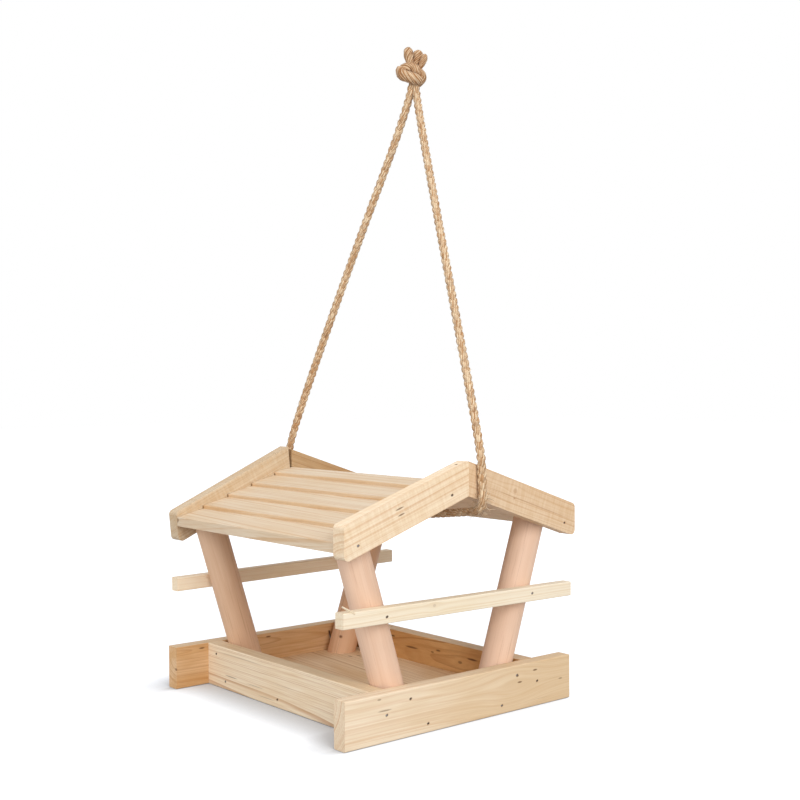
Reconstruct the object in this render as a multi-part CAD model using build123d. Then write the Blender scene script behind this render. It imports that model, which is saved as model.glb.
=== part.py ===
from build123d import *
from math import atan2, cos, pi, radians, sin, tan
import os

# Hanging wooden bird feeder with a pitched roof, carried by one loop of jute rope.
#
# Millimetres, +Z up. X runs across the gables, Y along the ridge, and the front gable is at -Y.
# The origin is the middle of the roof's plan, on the plane that the tray stands on.

# ---- Tray ------------------------------------------------------------------------------------
TRAY_SHIFT = -3.5  # the tray sits this far to the left of the roof's middle
TRAY_DEPTH = 245.0  # over the outer faces of the two end boards
TRAY_WIDTH = 168.0  # over the outer faces of the two side rails
BOARD_LENGTH = 230.0  # end boards, which run past the side rails
BOARD_THICKNESS = 12.5  # end boards and barge boards
BOARD_HEIGHT = 35.0  # end boards and side rails
RAIL_THICKNESS = 13.5
FLOOR_THICKNESS = 9.0
FLOOR_RAISED = 2.0  # the floor's underside above the plane that the tray stands on
FLOOR_CLEARANCE = 0.3  # round the floor panel

# ---- Posts and perches -----------------------------------------------------------------------
POST_DIAMETER = 25.0
POST_CLEARANCE = 0.2  # between a round post and a flat board
LEFT_HEAD_OUT = 95.0  # post head's axis from the roof's middle, at the slats' underside
RIGHT_HEAD_OUT = 91.0
PERCH_LENGTH = 234.0
PERCH_THICKNESS = 9.3
PERCH_HEIGHT = 11.5
PERCH_LEVEL = 89.0  # middle of the bar
PERCH_TILT = 0.6  # the front bar is nailed lower on the right, the back bar lower on the left

# ---- Roof ------------------------------------------------------------------------------------
ROOF_WIDTH = 237.0
ROOF_PITCH = 18.6
APEX_HEIGHT = 197.3  # top corner of the barge boards
BARGE_WIDTH = 25.0  # measured square to the board's edges
EAVE_CORNER_RADIUS = 4.0
SLAT_COUNT = 5  # on each slope
SLAT_EXPOSURE = 24.4  # across the slope, seen from above
EAVE_INSET = 1.5  # the eave slat's edge inside the barge board's end
SLAT_LOW_EDGE = 7.2  # thick edge of the tapered slat
SLAT_HIGH_EDGE = 4.6  # thin edge
SLAT_TONGUE = 2.0  # thickness of the tongue that the next slat laps
SLAT_LAP = 5.0
SLAT_CLEARANCE = 0.15
SLAT_END_CLEARANCE = 0.3
SLATS_DOWN = 5.6  # the slats' underside above the barge board's lower edge
# The left barge board of the back gable was nailed on a little steeper, so its mitre stands open.
SLIPPED_TILT = 5.5
SLIPPED_PIVOT = 26.5  # from the apex
SLIPPED_GAP = 1.3  # the open mitre at its narrow, lower end

# ---- Brads -----------------------------------------------------------------------------------
BRAD_LENGTH = 20.0
BRAD_WIDTH = 1.2
BRAD_HEAD_LENGTH = 2.0
BRAD_HEAD_THICKNESS = 0.8
BRAD_SUNK = 0.4  # the head lies this far under the wood's face
FOOT_BRAD_LEVEL = 27.5
RAIL_BRAD_LEVEL = 19.5
FLOOR_SIDE_BRADS = (-72.0, 6.0, 83.0)  # along the side rails
FLOOR_END_BRAD = 38.0  # from the tray's middle, along the end boards
SLAT_BRAD_INNER = 17.0  # brad through a barge board into the ridge slat's end
SLAT_BRAD_OUTER = 106.0  # and into the eave slat's end
SLAT_BRAD_DROP = 1.0  # below the middle of the slat's edge
MITRE_BRAD_OUT = 7.5
HEAD_BRAD_IN = 8.0  # towards the ridge from the post head's axis
HEAD_BRAD_OUT = 5.5  # towards the gable from the post's axis

# ---- Rope ------------------------------------------------------------------------------------
ROPE_DIAMETER = 7.0
ROPE_CLEARANCE = 0.3  # to the wood, and between the two legs
BEND_GAP = 0.9  # between the ends of the still and the swinging stretches
STILL_END_TAPER = 0.7  # the still stretch's ends narrow over this length, clear of the swing,
STILL_END_NARROWS = 2.2  # and by this much at the rim
ROPE_OUT = 9.2  # the rope's place on a gable, from the roof's middle
ROPE_PIVOT_RISE = 7.5  # the swinging legs bend this far above the apex
ROPE_EDGE_RADIUS = 7.0  # of the rope's centreline round a barge board's lower edge
KNOT_OUT = 50.0  # the knot's place, from the roof's middle
LEGS_MEET = 497.0  # height where the two legs come together
LEGS_TURN = 40.0  # the legs lie side by side at this angle to the gable's plane
LEG_BOW = 3.5  # of each leg off its straight line, towards the left
KNOT_FOOT = 512.0
KNOT_RADIUS = 12.8
KNOT_HEIGHT = 15.0
KNOT_SHOULDER = 4.0  # bevel of the knot's top and bottom
KNOT_SIDES = 16  # flats round the knot
TAIL_SIDES = 12  # flats round each rope end
# The rope ends and the bight that stand out of the knot: out, back, lean to the right, rise.
KNOT_TAILS = ((-3.5, 0.0, -4.0, 16.0), (4.0, 2.0, 5.0, 15.0), (7.0, -2.5, 24.0, 12.5))
# The slack stretch under the roof, from the front gable to the back: out, along, height.
SLACK_POINTS = ((11.5, -96.0, 155.5), (10.8, 0.0, 147.5), (10.0, 94.0, 156.2))
ROPE_UNDER = 11.0  # the rope's place under a barge board, from the roof's middle
ROPE_TURN_HEIGHT = 162.2  # corner of the rope's line below a barge board

EDGE_EASE = 0.8  # sanded edges of the boards
SLAT_EASE = 0.6

# ---- Worked out from the sizes above ---------------------------------------------------------
GABLE_FACE = TRAY_DEPTH / 2
GABLE_INNER = GABLE_FACE - BOARD_THICKNESS
SLOPE = tan(radians(ROOF_PITCH))
BARGE_DROP = BARGE_WIDTH / cos(radians(ROOF_PITCH))  # the barge board's height, cut plumb
HALF_ROOF = ROOF_WIDTH / 2
FLOOR_TOP = FLOOR_RAISED + FLOOR_THICKNESS
FLOOR_MIDDLE = FLOOR_RAISED + FLOOR_THICKNESS / 2
RAIL_MIDDLE = (TRAY_WIDTH - RAIL_THICKNESS) / 2  # from the tray's middle
RIDGE_UNDERSIDE = APEX_HEIGHT - BARGE_DROP + SLATS_DOWN
ROPE_RADIUS = ROPE_DIAMETER / 2
POST_RADIUS = POST_DIAMETER / 2
POST_Y = GABLE_INNER - POST_CLEARANCE - POST_RADIUS
PIVOT_HEIGHT = APEX_HEIGHT + ROPE_PIVOT_RISE
ROPE_FACE_Y = GABLE_FACE + ROPE_RADIUS + ROPE_CLEARANCE
SIDES = {"left": -1, "right": 1}
ENDS = {"front": -1, "back": 1}


def underside(x):
    """Height of the slats' underside at x."""
    return RIDGE_UNDERSIDE - abs(x) * SLOPE


def gable_solid(points, y_low, y_high):
    """Extrude an outline in X and Z from y_low to y_high."""
    plane = Plane((0, y_high, 0), x_dir=(1, 0, 0), z_dir=(0, -1, 0))
    return extrude(plane * Polygon(*points, align=None), y_high - y_low, dir=(0, -1, 0))


def board(length_x, length_y, height, centre, ease=EDGE_EASE):
    """A sawn board with its long edges sanded."""
    solid = Box(length_x, length_y, height)
    along = Axis.X if length_x > length_y else Axis.Y
    return Pos(*centre) * fillet(solid.edges().filter_by(along), ease)


# ---- Posts -----------------------------------------------------------------------------------
def head_out(side):
    """The post head's axis from the roof's middle."""
    return RIGHT_HEAD_OUT if side > 0 else LEFT_HEAD_OUT


def post_line(side):
    """Foot x and lean of a post that rests against the top inner edge of its side rail."""
    rail_inner = TRAY_SHIFT + side * (TRAY_WIDTH / 2 - RAIL_THICKNESS)
    out = head_out(side)
    reach = out - side * rail_inner
    rise = underside(out) - BOARD_HEIGHT
    edge_gap = POST_RADIUS + POST_CLEARANCE
    lean = atan2(reach, rise) + atan2(edge_gap, (reach**2 + rise**2 - edge_gap**2) ** 0.5)
    foot_x = side * (out - tan(lean) * (underside(out) - FLOOR_TOP))
    return foot_x, lean


def post_x(side, z):
    """The post axis's place at height z."""
    foot_x, lean = post_line(side)
    return foot_x + side * tan(lean) * (z - FLOOR_TOP)


def post(side, end):
    """A dowel, cut level at its foot and to the roof's pitch at its head."""
    foot_x, lean = post_line(side)
    length = (underside(head_out(side)) - FLOOR_TOP) / cos(lean) + 2 * POST_DIAMETER
    axis = Plane((foot_x, end * POST_Y, FLOOR_TOP), x_dir=(0, 1, 0), z_dir=(side * sin(lean), 0, cos(lean)))
    dowel = axis * Pos(0, 0, length / 2 - POST_DIAMETER) * Cylinder(POST_RADIUS, length)
    eave = side * HALF_ROOF
    room = [(0, FLOOR_TOP), (eave, FLOOR_TOP), (eave, underside(eave)), (0, underside(0))]
    return dowel & gable_solid(room, -GABLE_FACE, GABLE_FACE)


# ---- Roof ------------------------------------------------------------------------------------
def barge_board(side, end):
    """A barge board with a plumb mitre at the apex and a plumb, rounded end at the eave."""
    eave = side * HALF_ROOF
    fall = HALF_ROOF * SLOPE
    outline = [
        (0, APEX_HEIGHT),
        (0, APEX_HEIGHT - BARGE_DROP),
        (eave, APEX_HEIGHT - BARGE_DROP - fall),
        (eave, APEX_HEIGHT - fall),
    ]
    inner, outer = sorted((end * GABLE_INNER, end * GABLE_FACE))
    solid = gable_solid(outline, inner, outer)
    corners = [edge for edge in solid.edges().filter_by(Axis.Y) if abs(edge.center().X - eave) < EDGE_EASE]
    solid = fillet(corners, EAVE_CORNER_RADIUS)
    return slipped(solid) if (side, end) == (SIDES["left"], ENDS["back"]) else solid


def slipped(solid):
    """Turn a left barge board down at the eave, and draw it back from the apex by the open mitre."""
    foot_above_pivot = SLIPPED_PIVOT * SLOPE - BARGE_DROP / 2
    turn = radians(SLIPPED_TILT)
    foot_moves = SLIPPED_PIVOT * (cos(turn) - 1) - foot_above_pivot * sin(turn)
    pivot = Pos(-SLIPPED_PIVOT, 0, APEX_HEIGHT - SLIPPED_PIVOT * SLOPE - BARGE_DROP / 2)
    return Pos(-SLIPPED_GAP - foot_moves, 0, 0) * pivot * Rot(0, -SLIPPED_TILT, 0) * pivot.inverse() * solid


def slat_edges():
    """The slats' edges seen from above, from the ridge down to the eave."""
    eave = HALF_ROOF - EAVE_INSET
    steps = [eave - SLAT_EXPOSURE * count for count in range(1, SLAT_COUNT)]
    return [SLAT_CLEARANCE, *reversed(steps), eave]


def slat(side, place):
    """A tapered slat. Its thick lower edge laps the tongue of the slat below it."""
    upper, lower = slat_edges()[place - 1 : place + 1]
    plumb = 1 / cos(radians(ROOF_PITCH))
    tongue = SLAT_TONGUE * plumb

    def at(x, above=0.0):
        return (side * x, underside(x) + above)

    outline = [at(lower, SLAT_LOW_EDGE * plumb), at(upper, SLAT_HIGH_EDGE * plumb)]
    if place > 1:
        outline += [at(upper, tongue), at(upper - SLAT_LAP, tongue), at(upper - SLAT_LAP)]
    else:
        outline += [at(upper)]
    if place < SLAT_COUNT:
        rebate = lower - SLAT_LAP - SLAT_CLEARANCE
        outline += [at(rebate), at(rebate, tongue + SLAT_CLEARANCE), at(lower, tongue + SLAT_CLEARANCE)]
    else:
        outline += [at(lower)]
    end = GABLE_INNER - SLAT_END_CLEARANCE
    solid = gable_solid(outline, -end, end)
    nose = solid.edges().filter_by(Axis.Y).sort_by(lambda edge: (abs(edge.center().X), edge.center().Z))[-1]
    return fillet(nose, SLAT_EASE)


# ---- Brads -----------------------------------------------------------------------------------
def brad_shank():
    """The brad's wire, from the plane of the wood's face inwards along +Z."""
    return Pos(0, 0, BRAD_SUNK + BRAD_LENGTH / 2) * Box(BRAD_WIDTH, BRAD_WIDTH, BRAD_LENGTH)


def brad(face_point, inward, across):
    """A wire brad with a small oblong head, sunk a little under the face at face_point."""
    seat = Plane(face_point, x_dir=across, z_dir=inward)
    head = Box(BRAD_HEAD_LENGTH, BRAD_WIDTH, BRAD_HEAD_THICKNESS)
    return seat * (Pos(0, 0, BRAD_SUNK + BRAD_HEAD_THICKNESS / 2) * head + brad_shank())


def brad_hole(face_point, inward, across):
    """What a brad takes out of the wood: its own shape, and the pit that its head leaves."""
    seat = Plane(face_point, x_dir=across, z_dir=inward)
    pit_depth = BRAD_SUNK + BRAD_HEAD_THICKNESS
    pit = Pos(0, 0, pit_depth / 2) * Box(BRAD_HEAD_LENGTH, BRAD_WIDTH, pit_depth)
    return seat * (pit + brad_shank())


def brads_through_ends(places):
    """Brads driven level through both end faces, at (x, z) places."""
    return [((x, end * GABLE_FACE, z), (0, -end, 0), (1, 0, 0)) for end in ENDS.values() for x, z in places]


def brads_through_rails(places):
    """Brads driven level through both side rails, at (y, z) places."""
    outer = TRAY_WIDTH / 2
    return [
        ((TRAY_SHIFT + side * outer, y, z), (-side, 0, 0), (0, 1, 0))
        for side in SIDES.values()
        for y, z in places
    ]


def slat_brad_level(x):
    """Height of a brad in the edge of a slat at x, seen on the gable."""
    return underside(x) + (SLAT_LOW_EDGE + SLAT_HIGH_EDGE) / 4 - SLAT_BRAD_DROP


def mitre_brad_place():
    """A brad driven down aslant through the top edges of the front gable's mitre."""
    middle_y = -(GABLE_FACE + GABLE_INNER) / 2
    top = APEX_HEIGHT - MITRE_BRAD_OUT * SLOPE
    return ((-MITRE_BRAD_OUT, middle_y, top), Vector(1, 0, -1).normalized(), (0, 1, 0))


def perch_brad_place(side, end):
    """A brad driven level through a perch bar into a post."""
    face_y = end * (GABLE_INNER + PERCH_THICKNESS)
    return ((post_x(side, PERCH_LEVEL), face_y, PERCH_LEVEL), (0, -end, 0), (1, 0, 0))


def head_brad_place(side, end):
    """A brad driven plumb through the second slat from the eave into a post's head."""
    out = head_out(side) - HEAD_BRAD_IN
    upper, lower = slat_edges()[SLAT_COUNT - 2 : SLAT_COUNT]
    share = (out - upper) / (lower - upper)
    thickness = SLAT_HIGH_EDGE + share * (SLAT_LOW_EDGE - SLAT_HIGH_EDGE)
    top = underside(out) + thickness / cos(radians(ROOF_PITCH))
    return ((side * out, end * (POST_Y + HEAD_BRAD_OUT), top), (0, 0, -1), (0, 1, 0))


def brad_places():
    """Where each group of brads goes in: a point on the face, the way in, and the head's long side."""
    sides, ends = SIDES.values(), ENDS.values()
    corners = [(TRAY_SHIFT + side * RAIL_MIDDLE, RAIL_BRAD_LEVEL) for side in sides]
    feet = [(post_x(side, FOOT_BRAD_LEVEL), FOOT_BRAD_LEVEL) for side in sides]
    floor_ends = [(TRAY_SHIFT + side * FLOOR_END_BRAD, FLOOR_MIDDLE) for side in sides]
    slat_outs = (SLAT_BRAD_INNER, SLAT_BRAD_OUTER)
    slat_ends = [(side * out, slat_brad_level(out)) for side in sides for out in slat_outs]
    return {
        "tray_corner_brads": brads_through_ends(corners),
        "post_foot_brads": brads_through_ends(feet)
        + brads_through_rails([(end * POST_Y, FOOT_BRAD_LEVEL) for end in ends]),
        "floor_brads": brads_through_ends(floor_ends)
        + brads_through_rails([(y, FLOOR_MIDDLE) for y in FLOOR_SIDE_BRADS]),
        "perch_brads": [perch_brad_place(side, end) for side in sides for end in ends],
        "slat_end_brads": brads_through_ends(slat_ends),
        "mitre_brad": [mitre_brad_place()],
        "post_head_brads": [head_brad_place(side, end) for side in sides for end in ends],
    }


BRAD_HOLES = [brad_hole(*place) for places in brad_places().values() for place in places]


def bored(solid):
    """The piece with the holes of the brads that go into it."""
    space = solid.bounding_box()
    near = [hole for hole in BRAD_HOLES if space.overlaps(hole.bounding_box())]
    return solid - near if near else solid


# ---- Rope ------------------------------------------------------------------------------------
def arc_radii(points):
    """The largest arcs that fit between the runs: 0.45 of the shorter run over tan of half the turn."""
    radii = []
    for before, here, after in zip(points, points[1:], points[2:]):
        run_in = Vector(*here) - Vector(*before)
        run_out = Vector(*after) - Vector(*here)
        half_turn = radians(run_in.get_angle(run_out) / 2)
        radii.append(0.45 * min(run_in.length, run_out.length) / tan(half_turn))
    return radii


def rope(points, tight_corners=()):
    """A round rope along straight runs and tangent arcs. tight_corners bend round an edge."""
    radii = arc_radii(points)
    for corner in tight_corners:
        radii[corner] = ROPE_EDGE_RADIUS
    line = FilletPolyline(*points, radius=radii)
    start = Plane(points[0], z_dir=Vector(*points[1]) - Vector(*points[0]))
    tube = sweep(start * Circle(ROPE_RADIUS), path=line)
    section = pi * ROPE_RADIUS**2
    print("rope radii", [round(radius, 1) for radius in radii], "length", round(line.length, 1), end=" ")
    print("volume over section times length", round(tube.volume / (section * line.length), 4))
    return tube


def slack_rope():
    """The still stretch: down the front gable, loosely under the roof, and up the back gable."""
    top = PIVOT_HEIGHT - ROPE_RADIUS - BEND_GAP - STILL_END_TAPER
    front = [(ROPE_OUT, -ROPE_FACE_Y, top), (ROPE_UNDER, -ROPE_FACE_Y, ROPE_TURN_HEIGHT)]
    back = [(ROPE_UNDER, ROPE_FACE_Y, ROPE_TURN_HEIGHT), (ROPE_OUT, ROPE_FACE_Y, top)]
    points = [*front, *SLACK_POINTS, *back]
    tube = rope(points, tight_corners=(0, len(points) - 3))
    for tip, inner in ((points[0], points[1]), (points[-1], points[-2])):
        outward = Plane(tip, z_dir=Vector(*tip) - Vector(*inner))
        taper = Cone(ROPE_RADIUS, ROPE_RADIUS - STILL_END_NARROWS, STILL_END_TAPER)
        tube += outward * Pos(0, 0, STILL_END_TAPER / 2) * taper
    return tube


def rope_leg(end):
    """A leg of the bail, from its bend above the gable to the knot."""
    beside = ROPE_RADIUS + ROPE_CLEARANCE / 2
    meet_x = KNOT_OUT - end * beside * cos(radians(LEGS_TURN))
    meet_y = end * beside * sin(radians(LEGS_TURN))
    foot = Vector(ROPE_OUT, end * ROPE_FACE_Y, PIVOT_HEIGHT)
    meet = Vector(meet_x, meet_y, LEGS_MEET)
    middle = (foot + meet) / 2 - Vector(LEG_BOW, 0, 0)
    points = [tuple(foot), tuple(middle), tuple(meet), (meet_x, meet_y, KNOT_FOOT)]
    return rope(points) + Pos(*foot) * Sphere(ROPE_RADIUS)


def rope_knot():
    """The knot that ties both ends, as one plain body with the ends standing out of it."""
    middle = Pos(KNOT_OUT, 0, KNOT_FOOT + KNOT_HEIGHT / 2)
    drum = extrude(RegularPolygon(KNOT_RADIUS, KNOT_SIDES), KNOT_HEIGHT / 2, both=True)
    rims = drum.faces().filter_by(Axis.Z).edges()
    body = middle * chamfer(rims, KNOT_SHOULDER)
    tail = RegularPolygon(ROPE_RADIUS, TAIL_SIDES)
    for out, back, lean, rise in KNOT_TAILS:
        end = extrude(tail, KNOT_HEIGHT / 2 + rise)
        body += middle * Pos(out, back, 0) * Rot(0, lean, 0) * end
    return body


# ---- The parts -------------------------------------------------------------------------------
def tray_parts():
    """The end boards, the side rails and the floor panel."""
    room_x = TRAY_WIDTH - 2 * RAIL_THICKNESS - 2 * FLOOR_CLEARANCE
    room_y = 2 * (GABLE_INNER - FLOOR_CLEARANCE)
    pieces = {"floor_panel": Pos(TRAY_SHIFT, 0, FLOOR_MIDDLE) * Box(room_x, room_y, FLOOR_THICKNESS)}
    for name, end in ENDS.items():
        centre = (TRAY_SHIFT, end * (GABLE_FACE + GABLE_INNER) / 2, BOARD_HEIGHT / 2)
        pieces[f"end_board_{name}"] = board(BOARD_LENGTH, BOARD_THICKNESS, BOARD_HEIGHT, centre)
    for name, side in SIDES.items():
        centre = (TRAY_SHIFT + side * RAIL_MIDDLE, 0, BOARD_HEIGHT / 2)
        pieces[f"side_rail_{name}"] = board(RAIL_THICKNESS, 2 * GABLE_INNER, BOARD_HEIGHT, centre)
    return pieces


def frame_parts():
    """The four posts and the two perch bars nailed across them."""
    pieces = {}
    for end_name, end in ENDS.items():
        middle = Pos(0, end * (GABLE_INNER + PERCH_THICKNESS / 2), PERCH_LEVEL) * Rot(0, -end * PERCH_TILT, 0)
        bar = board(PERCH_LENGTH, PERCH_THICKNESS, PERCH_HEIGHT, (0, 0, 0))
        pieces[f"perch_bar_{end_name}"] = middle * bar
        for side_name, side in SIDES.items():
            pieces[f"post_{end_name}_{side_name}"] = post(side, end)
    return pieces


def roof_parts():
    """The four barge boards and the slats between them."""
    pieces = {}
    for side_name, side in SIDES.items():
        for end_name, end in ENDS.items():
            pieces[f"barge_board_{end_name}_{side_name}"] = barge_board(side, end)
        for place in range(1, SLAT_COUNT + 1):
            pieces[f"roof_slat_{side_name}_{place}"] = slat(side, place)
    return pieces


def brad_parts():
    """Each group of brads as separate solids in one part."""
    groups = {}
    for name, places in brad_places().items():
        groups[name] = Compound([brad(*place).solid() for place in places])
    return groups


def rope_parts():
    """The loop of rope, in its still and its swinging stretches, and the knot."""
    return {
        "rope_under_roof": slack_rope(),
        "rope_leg_front": rope_leg(ENDS["front"]),
        "rope_leg_back": rope_leg(ENDS["back"]),
        "rope_knot": rope_knot(),
    }


wood = {**tray_parts(), **frame_parts(), **roof_parts()}
parts = {name: bored(solid) for name, solid in wood.items()} | brad_parts() | rope_parts()

os.makedirs("parts", exist_ok=True)
for name, shape in parts.items():
    shape.label = name
    export_step(shape, f"parts/{name}.step")
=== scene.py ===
"""Looks of the hanging wooden bird feeder, dressed over its packed construction.

Every length is in metres in the construction's own frame, +Z up, with the front gable at -Y.
Sizes that a maker would quote are named in millimetres and turned to metres by mm().
"""
import logging
from dataclasses import dataclass, replace
from enum import Enum
from functools import cached_property
from math import cos, pi, radians, sin

import bpy
from mathutils import Matrix, Vector


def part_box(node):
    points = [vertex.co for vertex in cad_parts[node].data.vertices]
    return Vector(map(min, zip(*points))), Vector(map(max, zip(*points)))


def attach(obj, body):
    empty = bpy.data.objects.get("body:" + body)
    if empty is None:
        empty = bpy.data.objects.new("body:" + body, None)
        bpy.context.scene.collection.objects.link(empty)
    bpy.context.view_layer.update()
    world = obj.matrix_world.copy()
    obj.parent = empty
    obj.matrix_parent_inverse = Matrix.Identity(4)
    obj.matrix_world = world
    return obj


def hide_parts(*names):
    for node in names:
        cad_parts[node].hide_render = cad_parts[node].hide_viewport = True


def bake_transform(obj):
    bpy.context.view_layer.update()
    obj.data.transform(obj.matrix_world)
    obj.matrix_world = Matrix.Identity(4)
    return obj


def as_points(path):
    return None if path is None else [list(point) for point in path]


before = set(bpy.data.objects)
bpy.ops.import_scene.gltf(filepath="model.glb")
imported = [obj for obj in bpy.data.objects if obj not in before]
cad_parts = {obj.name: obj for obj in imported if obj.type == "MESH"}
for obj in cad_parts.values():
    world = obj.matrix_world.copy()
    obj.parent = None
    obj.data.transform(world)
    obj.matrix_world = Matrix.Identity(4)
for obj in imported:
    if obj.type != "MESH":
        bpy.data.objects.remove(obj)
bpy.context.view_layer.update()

LOG = logging.getLogger("bird_feeder")
Place = tuple[float, float, float]
Spot = tuple[float, float, float, float]
X_AXIS: Place = (1.0, 0.0, 0.0)
Y_AXIS: Place = (0.0, 1.0, 0.0)
Z_AXIS: Place = (0.0, 0.0, 1.0)
Socket = bpy.types.NodeSocket
NODE_PREFIXES = ("ShaderNode", "GeometryNode", "FunctionNode", "Node")
SMOOTH = {"interpolation_type": "SMOOTHSTEP"}
COLOUR = {"data_type": "RGBA", "out": 2}
VECTORS = {"data_type": "FLOAT_VECTOR"}


def mm(value: float) -> float:
    """Turn millimetres to metres."""
    return value / 1000.0


def in_mm(length: float) -> float:
    """Turn metres to millimetres."""
    return length * 1000.0


def linear(colour: str) -> tuple[float, float, float, float]:
    """Turn an sRGB hex colour to linear light.

    Args:
        colour: the colour as "#RRGGBB".

    Returns:
        Red, green, blue and an alpha of 1.
    """
    channels = [int(colour[i : i + 2], 16) / 255 for i in (1, 3, 5)]
    red, green, blue = [c / 12.92 if c <= 0.04045 else ((c + 0.055) / 1.055) ** 2.4 for c in channels]
    return (red, green, blue, 1.0)


@dataclass(frozen=True)
class Graph:
    """A node tree that is being built."""

    tree: bpy.types.NodeTree

    def add(
        self,
        kind: str,
        *values: object,
        named: dict[str | int, object] | None = None,
        out: str | int = 0,
        **settings: object,
    ) -> Socket:
        """Add one node with its settings, values and links.

        Args:
            kind: the node's type without its prefix, and after a space its operation, if it has one.
            *values: a value or another node's output for each input in order.
            named: the same for inputs by name or number.
            out: the output to return, by name or number.
            **settings: properties of the node.

        Returns:
            The chosen output.
        """
        kind, _, operation = kind.partition(" ")
        names = (prefix + kind for prefix in NODE_PREFIXES)
        node = self.tree.nodes.new(next(name for name in names if hasattr(bpy.types, name)))
        if operation:
            node.operation = operation
        for name, value in settings.items():
            setattr(node, name, value)
        for key, value in {**dict(enumerate(values)), **(named or {})}.items():
            if isinstance(value, bpy.types.NodeSocket):
                self.tree.links.new(value, node.inputs[key])
            else:
                node.inputs[key].default_value = value
        return node.outputs[out] if node.outputs else None


def new_material(name: str) -> tuple[bpy.types.Material, Graph]:
    """Make an empty node material.

    Args:
        name: the material's name.

    Returns:
        The material and its graph.
    """
    material = bpy.data.materials.new(name)
    material.use_nodes = True
    material.node_tree.nodes.clear()
    return material, Graph(material.node_tree)


def add_object(name: str, data: bpy.types.ID) -> bpy.types.Object:
    """Add an object to the scene.

    Args:
        name: the object's name.
        data: its mesh, curve, lamp or camera.

    Returns:
        The object, at the origin.
    """
    made = bpy.data.objects.new(name, data)
    bpy.context.scene.collection.objects.link(made)
    return made


def plain_mesh(shape: bpy.types.Object) -> bpy.types.Mesh:
    """Return an object's shape, with its modifiers carried out, as a new mesh."""
    bpy.context.view_layer.update()
    return bpy.data.meshes.new_from_object(shape.evaluated_get(bpy.context.evaluated_depsgraph_get()))


# ---- Finishes --------------------------------------------------------------------------------
@dataclass(frozen=True)
class Knot:
    """A branch's mark, a resin pocket or a spot of painted shadow, in the board's own millimetres: side,
    up, along.

    The grain is led round it within spread across and reach along. A spread of 0 leaves it straight.
    """

    place: Place
    width: float = 3.0
    length: float = 5.0
    spread: float = 0.0
    reach: float = 26.0
    core: float = 1.0


@dataclass(frozen=True)
class Grain:
    """How a board was sawn out of its tree.

    pith is the tree's heart in the board's own side and up millimetres, along runs with the
    fibres, up is square to them, and centre is the board's middle in millimetres. The heart moves
    aside by drift for each millimetre along, which gives pointed arches. deepens is the share of
    the deeper tone that the board gains from one end to the other, over half_length: painted shade
    where the light falls off along the board. Past that length is end grain, whose tone is end_tone
    times the rest. step is the side place of a lapped slat's lower edge, which carries painted shade
    where the lap steps down, or 0. Above the up place pale_above the board's top edge has the
    finish's pale tone. brads holds the heads that stain it, in metres.
    """

    pith: tuple[float, float]
    knots: tuple[Knot, ...] = ()
    along: Place = X_AXIS
    up: Place = Z_AXIS
    centre: Place = (0.0, 0.0, 0.0)
    seed: float = 0.0
    drift: tuple[float, float] = (0.0, 0.0)
    deepens: float = 0.0
    half_length: float = 115.0
    step: float = 0.0
    pale_above: float = 1000.0
    end_tone: float = 0.93
    brads: tuple[Vector, ...] = ()


@dataclass(frozen=True)
class TimberFinish:
    """Bare wood: growth rings round the pith, fibres, resin dashes and a slow drift of tone.

    wander_span, tone_span and saw_per_mm say how fast the grain's wander, its tone and the saw's
    strokes change: sideways, up and along. Rings swell and shrink by year_sway rings, and
    latewood grows over late_rises of a year and ends over late_drops. lap_band is where a lapped
    slat is given painted shade, where it steps down over the slat below, as shares of the way to
    its lower edge. pale_fade_mm is how softly a pale top edge begins, and knot_pull is how strongly
    the grain is led round a knot.
    """

    early: str
    late: str
    tint: str
    wood: str = "pine"
    dash: str = "#6E4A28"
    # Painted shade for the step where a lapped slat sits over the slat below.
    lap_shade: str = "#C9965F"
    pale: str = "#DCC3A0"
    ring_mm: float = 2.4
    ring_share: float = 0.6
    year_sway: float = 2.2
    faintest_year: float = 0.25
    late_rises: tuple[float, float] = (0.4, 0.92)
    late_drops: tuple[float, float] = (1.0, 0.94)
    knot_pull: float = 0.85
    wander_mm: float = 1.8
    wander_span: Place = (34.0, 34.0, 150.0)
    fibre_mm: float = 0.7
    fibre_share: float = 0.1
    fibre_ratio: float = 80.0
    saw_share: float = 0.0
    saw_per_mm: Place = (0.05, 0.07, 0.5)
    dash_mm: float = 0.8
    dash_level: float = 0.7
    dash_share: float = 0.35
    tint_share: float = 0.35
    tone_span: Place = (16.0, 16.0, 70.0)
    lap_band: tuple[float, float] = (0.88, 0.98)
    lap_share: float = 0.4
    pale_fade_mm: float = 0.4
    pale_share: float = 0.8
    stain_mm: tuple[float, float] = (1.3, 0.7)
    stain_share: float = 0.75
    roughness: float = 0.62
    relief_mm: float = 0.10

    def material(self, name: str, grain: Grain) -> bpy.types.Material:
        """Build the finish for one piece.

        Args:
            name: the material's name.
            grain: how the piece was sawn.

        Returns:
            The material.
        """
        made, graph = new_material(name)
        Board(graph, self, grain).draw()
        return made


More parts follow.
